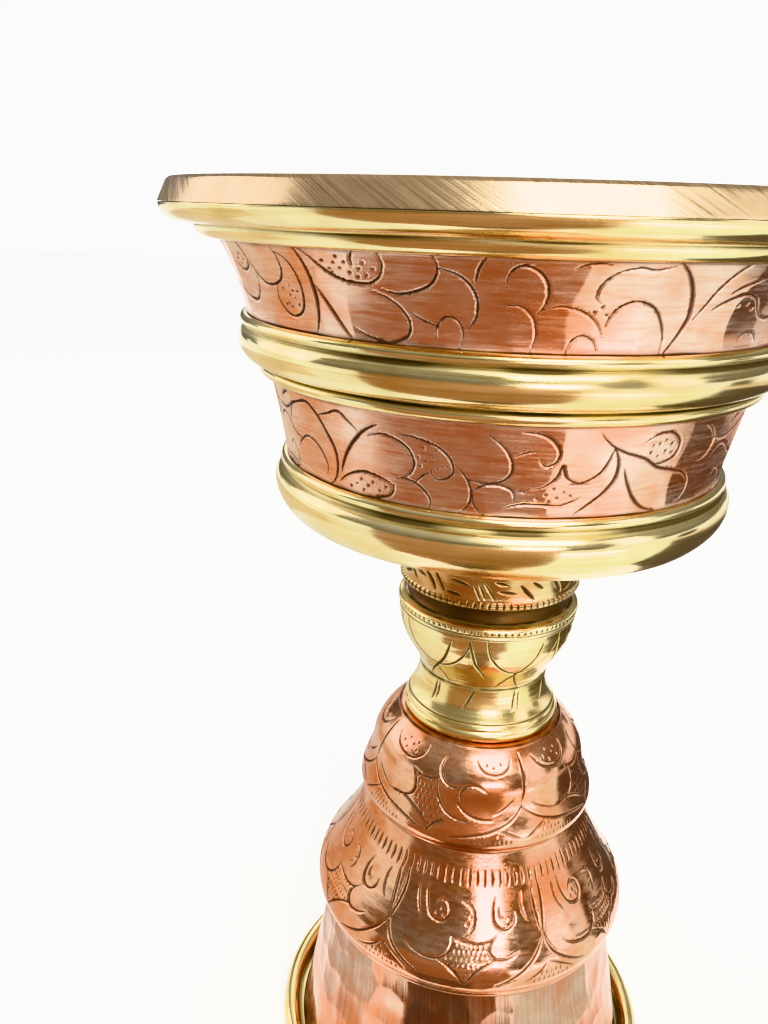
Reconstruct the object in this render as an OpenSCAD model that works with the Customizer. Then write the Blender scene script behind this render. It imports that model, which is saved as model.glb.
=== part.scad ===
// Footed butter lamp: an open bowl of copper bands and brass mouldings,
// screwed onto a turned neck, two lotus bulbs and a flared foot.
// Z = 0 is the table, the Z axis is the lamp's own axis, sizes in millimetres.

/* [Overall] */
// Height from the table to the top of the lip
lamp_h = 204.6; // [190:0.1:260]
// Radius of the bowl at its widest edge
rim_r = 66; // [56:0.5:80]

/* [Rim] */
// Height of the sloping copper lip
lip_h = 4.1; // [3:0.1:6]
// How far the lip leans in at its top
lip_lean = 1.8; // [1:0.1:2.5]
// Width of the lip's top edge
lip_top_w = 2.4; // [1.5:0.1:3.5]
// Height of the brass rim moulding under the lip
rim_ring_h = 5.7; // [5:0.1:8]
// How far the rim stands out past the upper band
rim_overhang = 10.3; // [9:0.1:14]
// Radius of the bead at the foot of the rim moulding
rim_bead_r = 2.2; // [1.6:0.1:2.5]

/* [Bowl walls] */
// Height of the upper engraved band
upper_band_h = 13.2; // [10:0.1:20]
// Radius that the upper band loses from top to foot
upper_band_draw = 4.8; // [2:0.1:8]
// Height of the middle moulding
mid_ring_h = 11.5; // [10.6:0.1:16]
// Radius that the middle moulding loses from top to foot
mid_ring_draw = 4.4; // [3.6:0.1:6]
// Height of the lower engraved band
lower_band_h = 15.8; // [10:0.1:24]
// Radius that the lower band loses from top to foot
lower_band_draw = 3.1; // [1:0.1:5]
// Thickness of the engraved bands
band_t = 1; // [0.7:0.05:1.4]
// Thickness of the inner bowl
liner_t = 1; // [0.7:0.05:1.4]

/* [Bowl bottom] */
// Height of the lower moulding
lower_ring_h = 11.3; // [10:0.1:16]
// How far the lower moulding swells past the band above it
lower_ring_swell = 2.4; // [1.6:0.1:4]
// How far the lower moulding tucks in at its foot
lower_ring_tuck = 0.8; // [0:0.1:2]
// Thickness of the lower moulding at its foot
lower_ring_foot_w = 3.2; // [2:0.1:5]
// Depth of the dished plate under the bowl
underside_h = 8.5; // [6:0.1:12]
// Thickness of the dished plate
underside_t = 1.2; // [0.8:0.1:2]
// Gap between the bowl floor and the level of the lower moulding's foot
floor_lift = 1.5; // [1:0.1:4]

/* [Wick holder] */
// Bore that takes the wick stalk
wick_hole_r = 1.6; // [1:0.1:2.2]
// Depth of the wick bore
wick_hole_depth = 12; // [8:0.5:13]
// Height of the tube above the bowl floor
wick_tube_h = 7; // [4:0.5:12]
// Outer radius of the tube
wick_tube_r = 3.6; // [3.2:0.1:5]
// Radius of the tube's foot flange
wick_flange_r = 7; // [6:0.5:11]

/* [Neck] */
// Height of the collar under the bowl
collar_h = 8.6; // [7:0.1:12]
// Radius of the collar at its top
collar_r = 19.8; // [17:0.1:24]
// Height of the dark seat ring between bowl and stem
seat_h = 3.3; // [2.8:0.1:5]
// Depth of the groove that the seat ring makes below the collar
seat_inset = 2.2; // [1.2:0.1:3.5]
// Height of the knop cup
cup_h = 17.1; // [14:0.1:24]
// Radius of the knop cup at its notched edge
cup_r = 19.6; // [17:0.1:24]
// Radius of the waist under the cup
waist_r = 14.2; // [12:0.1:16]
// Height of the flared skirt
skirt_h = 11.5; // [9:0.1:16]
// Radius of the bead round the skirt
skirt_r = 17.3; // [16.6:0.1:20]

/* [Screw joint] */
// Outer radius of the thread
rod_r = 5; // [4:0.5:6]
// Lift of the thread in one turn
thread_pitch = 1.5; // [1:0.25:2]
// How far the stud reaches into the bowl
stud_reach = 10.5; // [9:0.5:12]
// Radial play of the thread
thread_gap = 0.06; // [0.02:0.01:0.1]
// Radius of the bowl's boss
boss_r = 12; // [11:0.5:13]
// Wall of the spigot that carries the seat ring
spigot_wall = 2.5; // [2:0.1:3]

/* [Bulbs] */
// Height of the upper bulb
upper_bulb_h = 21.7; // [18:0.1:30]
// Widest radius of the upper bulb
upper_bulb_r = 26.7; // [25:0.1:32]
// Ledge that the upper bulb's flat top leaves round the skirt
skirt_ledge = 0.9; // [0.2:0.1:3]
// Height of the lower bulb
lower_bulb_h = 28.4; // [24:0.1:36]
// Widest radius of the lower bulb
lower_bulb_r = 36.7; // [34:0.1:44]
// How far each bulb's rolled lip draws in below its belly
lip_draw = 2.1; // [1.6:0.1:3]
// How far the piece below stands inside a rolled lip
lip_step = 0.5; // [0:0.1:0.6]
// Thickness of the beaten copper
shell_t = 1.2; // [0.8:0.1:1.6]

/* [Foot] */
// Outer radius of the foot's bottom edge
foot_bottom_r = 40.3; // [38:0.1:52]
// Height of the brass foot ring
foot_ring_h = 8; // [6.5:0.1:12]
// Width of the ring outside its gap
foot_ring_w = 4; // [3:0.1:8]
// Gap between the foot and the ring round it
foot_gap = 1; // [0.5:0.1:1.5]
// Height of the shoulder that the foot stands on
foot_shoulder_h = 5; // [4:0.1:6]
// Height by which the base plate is dished upward
base_dish = 6; // [5:0.1:8]
// Width of the base plate's sloping part
base_slope_w = 8; // [5:0.5:12]

/* [Tie rod fittings] */
// Width of the nuts across their corners, halved
nut_r = 9.8; // [9:0.1:10]
// Thickness of the nuts
nut_h = 5; // [4:0.1:5.5]
// Radius of the base washer
washer_r = 11; // [10.5:0.5:14]
// Thickness of the base washer
washer_h = 1.6; // [1:0.1:2]
// Play of the rod in the pieces that it passes through
rod_gap = 0.2; // [0.1:0.05:0.4]

/* [Hidden] */
$fn = 96;

copper = "#b8693f";
copper_plain = "#a85f3a";
brass = "#c9a44e";
dark_brass = "#6f4f2c";
steel = "#8d8f92";

// Levels, from the lip down
z_rim = lamp_h - lip_h;
z_rim_foot = z_rim - rim_ring_h;
z_upper_foot = z_rim_foot - upper_band_h;
z_mid_foot = z_upper_foot - mid_ring_h;
z_lower_foot = z_mid_foot - lower_band_h;
z_ring_foot = z_lower_foot - lower_ring_h;
z_floor = z_ring_foot + floor_lift;
z_collar_top = z_ring_foot - underside_h;
z_collar_foot = z_collar_top - collar_h;
z_cup_top = z_collar_foot - seat_h;
z_waist = z_cup_top - cup_h;
z_skirt_foot = z_waist - skirt_h;
z_upper_lip = z_skirt_foot - upper_bulb_h;
z_foot_top = z_upper_lip - lower_bulb_h;

// Radii of the bowl's outside, from the rim down
r_upper_top = rim_r - rim_overhang;
r_upper_foot = r_upper_top - upper_band_draw;
r_lower_top = r_upper_foot - mid_ring_draw;
r_lower_foot = r_lower_top - lower_band_draw;
r_ring_bore = r_lower_foot - lower_ring_tuck - lower_ring_foot_w;

// Radii of the stem's pieces where they sit on each other
seat_r = collar_r - seat_inset;
upper_bulb_top_r = skirt_r + skirt_ledge;
upper_lip_r = upper_bulb_r - lip_draw;
lower_bulb_top_r = upper_lip_r - lip_step;
lower_lip_r = lower_bulb_r - lip_draw;
foot_top_r = lower_lip_r - lip_step;
foot_bore_r = foot_bottom_r + foot_gap;
foot_ring_r = foot_bore_r + foot_ring_w;

// Small fits and edges
rod_hole_r = rod_r + rod_gap;
spigot_r = rod_r + spigot_wall;
seat_play = 0.05;
spigot_play = 0.08;
keeper_r = spigot_r + 0.9;
keeper_t = 0.7;
keeper_gap = 0.2;
spigot_end_gap = 0.25;
nut_recess_r = nut_r + 0.7;
stud_end_gap = 1.2;
boss_flange_r = boss_r + 4;
boss_flange_t = 1.5;
wick_tail_r = wick_hole_r + 1.6;
wick_wall_t = 1.5;
wick_flange_t = 1.2;
lip_edge = 0.5;
bead_r = 1.15;
table_gap = 2.4;
base_rim_w = 8;

// Points along an arc, and along a cubic curve between two ends
function arc(centre, r, from, to, steps = 8) = [
    for (i = [0 : steps])
        let (a = from + (to - from) * i / steps)
        [centre[0] + r * cos(a), centre[1] + r * sin(a)]
];
function curve(a, b, c, d, steps = 8) = [
    for (i = [0 : steps])
        let (t = i / steps, s = 1 - t)
        s * s * s * a + 3 * s * s * t * b + 3 * s * t * t * c + t * t * t * d
];
function reversed(points) = [for (i = [len(points) - 1 : -1 : 0]) points[i]];
function shifted(points, by) = [for (p = points) p + by];

module turned(outline) {
    rotate_extrude() polygon(outline);
}

// Outside of the two engraved bands, from foot to top
band_steps = 8;
upper_band_line = [
    for (i = [0 : band_steps])
        let (t = i / band_steps)
        [r_upper_foot + upper_band_draw * pow(t, 1.5), z_upper_foot + upper_band_h * t]
];
lower_band_line = [
    for (i = [0 : band_steps])
        let (t = i / band_steps)
        [r_lower_foot + lower_band_draw * pow(t, 1.15), z_lower_foot + lower_band_h * t]
];

// Outside of the inner bowl under the rim, and round its bottom corner
liner_flare_top = [rim_r - lip_lean - lip_top_w - liner_t, lamp_h - liner_t];
liner_flare_line = curve(
    [r_upper_top - band_t, z_rim_foot],
    [r_upper_top - band_t + 1.6, z_rim_foot + 3],
    [liner_flare_top[0] - 2.6, liner_flare_top[1] - 2.2],
    liner_flare_top
);
ring_bore_top = z_ring_foot + 4;
liner_corner_start = [r_lower_foot - band_t, z_lower_foot];
liner_corner_toe = [r_ring_bore, ring_bore_top];
liner_corner_line = curve(
    [r_lower_foot - band_t - 11.5, z_floor],
    [r_lower_foot - band_t - 4.5, z_floor],
    liner_corner_start + 0.6 * (liner_corner_toe - liner_corner_start),
    liner_corner_start
);

// Outside of the foot, and how much it leans in per millimetre of height at its bottom
foot_h = z_foot_top - foot_shoulder_h;
foot_line = curve(
    [foot_top_r, z_foot_top],
    [foot_top_r + 1.2, z_foot_top - 0.35 * foot_h],
    [foot_bottom_r - 1.6, foot_shoulder_h + 0.35 * foot_h],
    [foot_bottom_r, foot_shoulder_h]
);
foot_edge = foot_line[len(foot_line) - 2];
foot_lean = (foot_bottom_r - foot_edge[0]) / (foot_edge[1] - foot_shoulder_h);

// Inner bowl: one copper sheet, flared at the top and folded down as the lip
module bowl_liner() {
    outside = concat(
        liner_corner_line,
        shifted(lower_band_line, [-band_t, 0]),
        shifted(upper_band_line, [-band_t, 0]),
        liner_flare_line
    );
    lip = [
        [rim_r - lip_lean - liner_t, lamp_h - liner_t],
        [rim_r - liner_t, z_rim],
        [rim_r, z_rim],
        [rim_r - lip_lean + 0.15, lamp_h - lip_edge],
        [rim_r - lip_lean - lip_edge, lamp_h],
        [rim_r - lip_lean - lip_top_w, lamp_h]
    ];
    inside_flare = shifted(liner_flare_line, [-liner_t, liner_t * 0.2]);
    inside = concat(
        reversed([for (p = inside_flare) if (p[1] < lamp_h - lip_edge) p]),
        reversed(shifted(upper_band_line, [-band_t - liner_t, 0])),
        reversed(shifted(lower_band_line, [-band_t - liner_t, 0])),
        reversed([for (p = shifted(liner_corner_line, [-liner_t, liner_t])) if (p[1] < z_lower_foot) p])
    );
    color(copper_plain) turned(concat(
        [[wick_tail_r, z_floor]],
        outside,
        lip,
        inside,
        [[wick_tail_r, z_floor + liner_t]]
    ));
}

// Rim moulding: a full round, a groove and a bead, cast in brass
module rim_ring() {
    bead_x = r_upper_top + 2;
    round_end = [bead_x + rim_bead_r + 0.5, z_rim_foot + rim_bead_r + 0.1];
    color(brass) turned(concat(
        liner_flare_line,
        [[rim_r - lip_lean - liner_t, lamp_h - liner_t], [rim_r - liner_t, z_rim]],
        curve(
            [rim_r - 0.1, z_rim],
            [rim_r, z_rim - 2.2],
            [rim_r - 2.4, round_end[1] + 0.1],
            round_end
        ),
        arc([bead_x, z_rim_foot + rim_bead_r], rim_bead_r, 15, -90),
        [[r_upper_top, z_rim_foot]]
    ));
}

module band(line) {
    turned(concat(line, reversed(shifted(line, [-band_t, 0]))));
}

// Upper engraved band, butted between the rim and the middle moulding
module upper_band() {
    color(copper) band(upper_band_line);
}

// Middle moulding: bead, large round and bead over the step in the bowl
module mid_ring() {
    round_r = 4;
    foot_bead_r = 1.1;
    round_z = z_upper_foot - 4.9;
    color(brass) turned(concat(
        [[r_upper_foot - band_t, z_upper_foot], [r_upper_foot + 0.15, z_upper_foot]],
        arc([r_upper_foot + 0.1, z_upper_foot - bead_r], bead_r, 85, -75),
        arc([r_upper_foot + 1.5 - round_r, round_z], round_r, 38, -66),
        arc([r_lower_top + 1.1, z_mid_foot + foot_bead_r + 0.2], foot_bead_r, 80, -90),
        [[r_lower_top, z_mid_foot], [r_lower_top - band_t, z_mid_foot]]
    ));
}

// Lower engraved band, butted between the middle and lower mouldings
module lower_band() {
    color(copper) band(lower_band_line);
}

// Lower moulding: a bead over a wide swelling band that closes the bowl
module lower_ring() {
    foot_r = r_lower_foot - lower_ring_tuck;
    color(brass) turned(concat(
        [[r_lower_foot - band_t, z_lower_foot], [r_lower_foot + 0.1, z_lower_foot]],
        arc([r_lower_foot + 0.1, z_lower_foot - bead_r], bead_r, 85, -70),
        curve(
            [r_lower_foot + 0.7, z_lower_foot - 2.5],
            [r_lower_foot + lower_ring_swell + 1, z_lower_foot - 3.8],
            [r_lower_foot + lower_ring_swell + 0.4, z_ring_foot + 3.2],
            [foot_r, z_ring_foot]
        ),
        [[r_ring_bore, z_ring_foot], [r_ring_bore, ring_bore_top]]
    ));
}

// Dished plate that closes the bowl's underside and rests on the collar
module underside_plate() {
    dish = curve(
        [r_ring_bore - 1, z_ring_foot],
        [r_ring_bore - 10, z_ring_foot - 0.7],
        [collar_r + 2.4, z_collar_top + 0.55 * underside_h],
        [collar_r - 0.8, z_collar_top]
    );
    color(copper_plain) turned(concat(
        [[r_ring_bore, z_ring_foot]],
        dish,
        [[boss_r, z_collar_top], [boss_r, z_collar_top + underside_t]],
        reversed(shifted(dish, [-0.5, underside_t])),
        [[r_ring_bore, z_ring_foot + underside_t]]
    ));
}

// Boss: soldered under the bowl's floor, threaded inside, with a spigot below
module bowl_boss() {
    spigot_end = z_cup_top + spigot_end_gap;
    bore_top = z_collar_foot + stud_reach + stud_end_gap;
    color(brass) turned([
        [0, z_floor - wick_tail_depth()],
        [wick_tail_r, z_floor - wick_tail_depth()],
        [wick_tail_r, z_floor],
        [boss_flange_r, z_floor],
        [boss_flange_r, z_floor - boss_flange_t],
        [boss_r, z_floor - boss_flange_t],
        [boss_r, z_collar_foot],
        [spigot_r, z_collar_foot],
        [spigot_r, spigot_end + keeper_t],
        [keeper_r, spigot_end + keeper_t],
        [keeper_r, spigot_end],
        [rod_r + thread_gap, spigot_end],
        [rod_r + thread_gap, bore_top],
        [0, bore_top]
    ]);
}

// Depth of the wick holder's tail below the bowl's floor
function wick_tail_depth() = wick_hole_depth + wick_wall_t - wick_tube_h - liner_t;

// Wick holder: a flanged brass tube through the floor, bored blind
module wick_socket() {
    seat = z_floor + liner_t;
    top = seat + wick_tube_h;
    color(brass) turned([
        [0, z_floor - wick_tail_depth()],
        [wick_tail_r, z_floor - wick_tail_depth()],
        [wick_tail_r, seat],
        [wick_flange_r, seat],
        [wick_flange_r, seat + wick_flange_t],
        [wick_tube_r, seat + wick_flange_t],
        [wick_tube_r, top - 0.4],
        [wick_tube_r - 0.4, top],
        [wick_hole_r, top],
        [wick_hole_r, top - wick_hole_depth],
        [0, top - wick_hole_depth]
    ]);
}

// Collar: a waisted brass sleeve on the boss, with a raised line at its foot
module neck_collar() {
    color(brass) turned(concat(
        [[boss_r, z_collar_top]],
        curve(
            [collar_r, z_collar_top],
            [collar_r - 0.9, z_collar_top - 0.35 * collar_h],
            [collar_r - 1.1, z_collar_top - 0.6 * collar_h],
            [collar_r - 0.9, z_collar_foot + 2]
        ),
        arc([collar_r - 1.3, z_collar_foot + 0.9], 0.85, 60, -70),
        [[boss_r, z_collar_foot]]
    ));
}

// Seat ring: kept on the boss's spigot, so it lifts with the bowl
module seat_ring() {
    top = z_collar_foot - seat_play;
    foot = z_cup_top + seat_play;
    bore = spigot_r + spigot_play;
    keeper_bore = keeper_r + keeper_gap;
    keeper_top = z_cup_top + spigot_end_gap + keeper_t + keeper_gap;
    color(dark_brass) turned(concat(
        [[bore, top]],
        curve([seat_r, top], [seat_r - 0.9, top - 0.9], [seat_r - 0.9, foot + 0.9], [seat_r, foot]),
        [[keeper_bore, foot], [keeper_bore, keeper_top], [bore, keeper_top]]
    ));
}

// Tie rod: clamps the stem together and stands out above it as the stud
module tie_rod() {
    top = z_collar_foot + stud_reach;
    color(steel) turned([
        [0, table_gap],
        [rod_r - 0.8, table_gap],
        [rod_r, table_gap + 0.8],
        [rod_r, top - 0.8],
        [rod_r - 0.8, top],
        [0, top]
    ]);
}

module nut(z) {
    translate([0, 0, z]) difference() {
        cylinder(r = nut_r, h = nut_h, $fn = 6);
        translate([0, 0, -1]) cylinder(r = rod_r, h = nut_h + 2);
    }
}

// Nut sunk in the top of the knop cup
module cup_nut() {
    color(steel) nut(z_cup_top - nut_h - spigot_end_gap);
}

// Knop cup: a turned brass half-globe with a raised, notched edge
module knop_cup() {
    nut_seat = z_cup_top - nut_h - spigot_end_gap;
    edge_foot = z_cup_top - 2.9;
    color(brass) turned(concat(
        [[nut_recess_r, nut_seat], [nut_recess_r, z_cup_top]],
        [[cup_r - 1.6, z_cup_top]],
        arc([cup_r - 1, z_cup_top - 1.4], 1, 75, -60),
        curve(
            [cup_r - 0.3, edge_foot],
            [cup_r - 0.5, edge_foot - 0.45 * cup_h],
            [waist_r + 1, z_waist + 0.25 * cup_h],
            [waist_r, z_waist + 0.5]
        ),
        [[waist_r, z_waist], [rod_hole_r, z_waist], [rod_hole_r, nut_seat]]
    ));
}

// Skirt: flares from the waist to a bead that sits on the upper bulb
module neck_skirt() {
    hollow_r = skirt_r - 5.3;
    hollow_top = z_skirt_foot + 0.6 * skirt_h;
    color(brass) turned(concat(
        [[rod_hole_r, z_waist]],
        curve(
            [waist_r, z_waist],
            [waist_r, z_waist - 0.45 * skirt_h],
            [skirt_r - 1.3, z_skirt_foot + 0.45 * skirt_h],
            [skirt_r - 0.5, z_skirt_foot + 3.1]
        ),
        arc([skirt_r - 1.5, z_skirt_foot + 1.5], 1.5, 55, -90),
        [[hollow_r, z_skirt_foot], [hollow_r, hollow_top - 2], [hollow_r - 2, hollow_top]],
        [[rod_hole_r, hollow_top]]
    ));
}

// Beaten shell with a flat top, an open bottom and a rolled lip
module shell(line, z_top) {
    top_r = line[0][0];
    inside = [for (p = shifted(line, [-shell_t, 0])) if (p[1] < z_top - shell_t) p];
    turned(concat(
        [[rod_hole_r, z_top]],
        line,
        reversed(inside),
        [[top_r - shell_t, z_top - shell_t], [rod_hole_r, z_top - shell_t]]
    ));
}

// Upper bulb: a rounded shoulder over a fuller belly
module upper_bulb() {
    shoulder_r = upper_bulb_r - 2.7;
    shoulder_z = z_skirt_foot - 0.4 * upper_bulb_h;
    color(copper) shell(concat(
        curve(
            [upper_bulb_top_r, z_skirt_foot],
            [upper_bulb_top_r + 3.2, z_skirt_foot - 2.6],
            [shoulder_r - 0.4, z_skirt_foot - 5.4],
            [shoulder_r, shoulder_z]
        ),
        curve(
            [shoulder_r + 0.1, shoulder_z - 0.6],
            [shoulder_r + 0.5, shoulder_z - 3.8],
            [upper_bulb_r + 0.1, z_upper_lip + 5.8],
            [upper_bulb_r, z_upper_lip + 3.4]
        ),
        curve(
            [upper_bulb_r - 0.1, z_upper_lip + 2.9],
            [upper_bulb_r - 0.4, z_upper_lip + 1.7],
            [upper_lip_r + 0.8, z_upper_lip + 1],
            [upper_lip_r + 0.4, z_upper_lip + 0.9],
            4
        ),
        arc([upper_lip_r - 0.2, z_upper_lip + 0.6], 0.6, 40, -90, 4)
    ), z_skirt_foot);
}

// Lower bulb: a steep throat flaring into a wide belly
module lower_bulb() {
    belly_top = [lower_bulb_r - 2.1, z_foot_top + 9.9];
    color(copper) shell(concat(
        curve(
            [lower_bulb_top_r, z_upper_lip],
            [lower_bulb_top_r + 2.4, z_upper_lip - 5],
            belly_top + [-4.6, 6.4],
            belly_top
        ),
        curve(
            belly_top + [0.4, -0.5],
            belly_top + [1.9, -2.6],
            [lower_bulb_r + 0.6, z_foot_top + 3.6],
            [lower_lip_r + 0.8, z_foot_top + 1.7]
        ),
        arc([lower_lip_r - 0.2, z_foot_top + 0.8], 0.8, 40, -90, 4)
    ), z_upper_lip);
}

// Foot: a plain hammered cone, widening a little faster near the table
module foot_shell() {
    color(copper_plain) shell(foot_line, z_foot_top);
}

// Foot ring: cast brass, round outside, with a shoulder for foot and plate
module foot_ring() {
    bore = foot_bore_r;
    crown_r = foot_ring_w / 2;
    color(brass) turned(concat(
        [[bore - 2, 0], [foot_ring_r - 2, 0]],
        curve(
            [foot_ring_r - 0.8, 0.3],
            [foot_ring_r + 0.1, 1.4],
            [foot_ring_r, foot_ring_h - crown_r - 1],
            [foot_ring_r, foot_ring_h - crown_r],
            6
        ),
        arc([bore + crown_r, foot_ring_h - crown_r], crown_r, 15, 180),
        [[bore, foot_shoulder_h], [foot_bottom_r - base_rim_w / 2, foot_shoulder_h]],
        [[foot_bottom_r - base_rim_w / 2, foot_shoulder_h - 1.6], [bore - 2, foot_shoulder_h - 1.6]]
    ));
}

// Base plate: pressed copper, dished up to clear the nut
module base_plate() {
    edge_r = foot_bottom_r - shell_t;
    flat_r = edge_r - base_rim_w;
    low = foot_shoulder_h;
    high = foot_shoulder_h + base_dish;
    dish_r = flat_r - base_slope_w;
    color(copper_plain) turned([
        [edge_r, low],
        [edge_r - foot_lean * shell_t, low + shell_t],
        [flat_r, low + shell_t],
        [dish_r, high + shell_t],
        [rod_hole_r, high + shell_t],
        [rod_hole_r, high],
        [dish_r, high],
        [flat_r, low]
    ]);
}

// Washer and nut that pull the rod down against the base plate
module base_washer() {
    washer_z = foot_shoulder_h + base_dish - washer_h;
    color(steel) translate([0, 0, washer_z]) difference() {
        cylinder(r = washer_r, h = washer_h);
        translate([0, 0, -1]) cylinder(r = rod_hole_r, h = washer_h + 2);
    }
}

module base_nut() {
    color(steel) nut(foot_shoulder_h + base_dish - washer_h - nut_h);
}

bowl_liner();
rim_ring();
upper_band();
mid_ring();
lower_band();
lower_ring();
underside_plate();
bowl_boss();
wick_socket();
neck_collar();
seat_ring();
tie_rod();
cup_nut();
knop_cup();
neck_skirt();
upper_bulb();
lower_bulb();
foot_shell();
foot_ring();
base_plate();
base_washer();
base_nut();
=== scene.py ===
import math

import bpy
import numpy as np
from mathutils import Matrix, Vector


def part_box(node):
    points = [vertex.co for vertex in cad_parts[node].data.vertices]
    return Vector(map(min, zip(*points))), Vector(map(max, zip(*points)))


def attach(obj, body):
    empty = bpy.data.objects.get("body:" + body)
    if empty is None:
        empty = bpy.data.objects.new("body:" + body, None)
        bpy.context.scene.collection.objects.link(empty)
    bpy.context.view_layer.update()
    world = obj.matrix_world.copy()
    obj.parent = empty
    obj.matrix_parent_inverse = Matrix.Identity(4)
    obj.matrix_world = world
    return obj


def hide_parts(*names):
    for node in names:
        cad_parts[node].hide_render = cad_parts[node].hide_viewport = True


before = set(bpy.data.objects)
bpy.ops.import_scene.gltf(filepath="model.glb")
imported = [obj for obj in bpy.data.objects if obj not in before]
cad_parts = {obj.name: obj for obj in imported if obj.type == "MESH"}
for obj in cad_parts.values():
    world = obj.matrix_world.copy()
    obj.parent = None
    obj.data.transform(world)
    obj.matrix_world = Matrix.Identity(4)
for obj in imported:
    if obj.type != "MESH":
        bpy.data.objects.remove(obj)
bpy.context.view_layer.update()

# ---------------------------------------------------------------- studio
# The lamp stands on a plain pale table in a white room with soft windows round it.
# It is looked at from close by, from the level of its rim, so the bowl looks wide.
MM = 0.001


def plain_paint(name, shade, roughness):
    """Matt paint of one shade, for the table and the cards."""
    paint = bpy.data.materials.new(name)
    paint.use_nodes = True
    shader = paint.node_tree.nodes["Principled BSDF"]
    shader.inputs["Base Color"].default_value = (*shade, 1)
    shader.inputs["Roughness"].default_value = roughness
    return paint


def card(name, edges, shade):
    """A curved sheet of card on the table, which only the polished metal sees. Each of its edges
    runs from one turn round the lamp to another, at a distance and a level."""
    steps = 16
    corners = []
    for turn_from, turn_to, distance, level in edges:
        for i in range(steps + 1):
            a = math.radians(turn_from + (turn_to - turn_from) * i / steps)
            corners.append((distance * math.sin(a), -distance * math.cos(a), level))
    mesh = bpy.data.meshes.new(name)
    faces = []
    for k in range(len(edges) - 1):
        for i in range(steps):
            first = k * (steps + 1) + i
            faces.append((first, first + 1, first + steps + 2, first + steps + 1))
    mesh.from_pydata(corners, [], faces)
    sheet = bpy.data.objects.new(name, mesh)
    sheet.data.materials.append(plain_paint(name, shade, 1.0))
    bpy.context.scene.collection.objects.link(sheet)
    sheet.visible_camera = False
    sheet.visible_diffuse = False
    sheet.visible_shadow = False


def soft_window(name, turn, distance, level, width, height, power, tint=(1, 1, 1)):
    """A soft box at a turn round the lamp, counted from the front, that faces its waist."""
    waist = Vector((0, 0, 0.12))
    lamp = bpy.data.lights.new(name, "AREA")
    lamp.shape = "RECTANGLE"
    lamp.size = width
    lamp.size_y = height
    lamp.energy = power
    lamp.color = tint
    light = bpy.data.objects.new(name, lamp)
    a = math.radians(turn)
    light.location = (distance * math.sin(a), -distance * math.cos(a), level)
    light.rotation_euler = (waist - light.location).to_track_quat("-Z", "Y").to_euler()
    bpy.context.scene.collection.objects.link(light)


table_half = 3.0
table_mesh = bpy.data.meshes.new("table")
table_corners = [
    (-table_half, -table_half, 0), (table_half, -table_half, 0),
    (table_half, table_half, 0), (-table_half, table_half, 0),
]
table_mesh.from_pydata(table_corners, [], [(0, 1, 2, 3)])
table = bpy.data.objects.new("table", table_mesh)
table.data.materials.append(plain_paint("pale_table", (0.88, 0.875, 0.87), 0.65))
bpy.context.scene.collection.objects.link(table)

room = bpy.data.worlds.new("white_room")
room.use_nodes = True
room_nodes, room_links = room.node_tree.nodes, room.node_tree.links
walls = room_nodes["Background"]
walls.inputs["Color"].default_value = (1, 1, 1, 1)
walls.inputs["Strength"].default_value = 2.1
mirrored = room_nodes.new("ShaderNodeBackground")
mirrored.inputs["Color"].default_value = (1.0, 0.98, 0.96, 1)
look = room_nodes.new("ShaderNodeTexCoord")
look_up = room_nodes.new("ShaderNodeSeparateXYZ")
ceiling = room_nodes.new("ShaderNodeMapRange")
range_keys = ("From Min", "From Max", "To Min", "To Max")
for key, number in zip(range_keys, (0.05, 0.90, 0.16, 0.60)):
    ceiling.inputs[key].default_value = number
room_links.new(look.outputs["Generated"], look_up.inputs[0])
room_links.new(look_up.outputs["Z"], ceiling.inputs["Value"])
room_links.new(ceiling.outputs["Result"], mirrored.inputs["Strength"])
which_ray = room_nodes.new("ShaderNodeLightPath")
choice = room_nodes.new("ShaderNodeMixShader")
room_links.new(which_ray.outputs["Is Glossy Ray"], choice.inputs["Fac"])
room_links.new(walls.outputs[0], choice.inputs[1])
room_links.new(mirrored.outputs[0], choice.inputs[2])
room_links.new(choice.outputs[0], room_nodes["World Output"].inputs["Surface"])
bpy.context.scene.world = room
bpy.context.scene.view_settings.view_transform = "Khronos PBR Neutral"

# Each window: its name, turn, distance and level, then its width, height, power and tint.
soft_window("window_left", -100, 0.85, 0.48, width=0.60, height=0.60, power=4.0)
soft_window("window_front", 19, 0.65, 0.25, width=0.22, height=0.10, power=2.8)
cool_white = (0.94, 1.0, 0.95)
soft_window("window_top", 24, 0.54, 0.70, width=0.46, height=0.36, power=14.0, tint=cool_white)
soft_window("window_low", 42, 0.40, 0.016, width=0.28, height=0.024, power=0.5)
soft_window("window_right", 68, 0.80, 0.45, width=0.26, height=0.50, power=1.5)
soft_window("window_back", 190, 0.9, 0.60, width=0.6, height=0.6, power=3.0)

# The cards give the polish its dark middle and its paler sides.
brown, dark_brown, near_black = (0.112, 0.058, 0.036), (0.05, 0.028, 0.022), (0.03, 0.02, 0.018)
pale_green, pale_grey, warm_grey = (0.36, 0.39, 0.37), (0.33, 0.34, 0.335), (0.265, 0.225, 0.175)
near_white, table_brown = (0.80, 0.78, 0.75), (0.30, 0.26, 0.23)
left_wall_grey, right_wall_grey = (0.39, 0.42, 0.43), (0.46, 0.47, 0.50)
card(
    "brown_card_front",
    [(-20, 14, 0.050, 0.004), (-38, 24, 0.09, 0.004), (-55, 30, 0.125, 0.004), (-55, 30, 0.8, 0.2)],
    brown,
)
card("dark_card_front", [(-24, 4, 0.049, 0.006), (-28, 8, 0.10, 0.006)], dark_brown)
card("dark_card_right", [(88, 150, 0.12, 0.006), (88, 150, 0.52, 0.006)], near_black)
card("pale_card_left", [(-175, -55, 0.060, 0.003), (-175, -55, 0.90, 0.02)], pale_grey)
card("warm_card_left", [(-175, -84, 0.26, 0.010), (-175, -84, 0.80, 0.024)], warm_grey)
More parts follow.
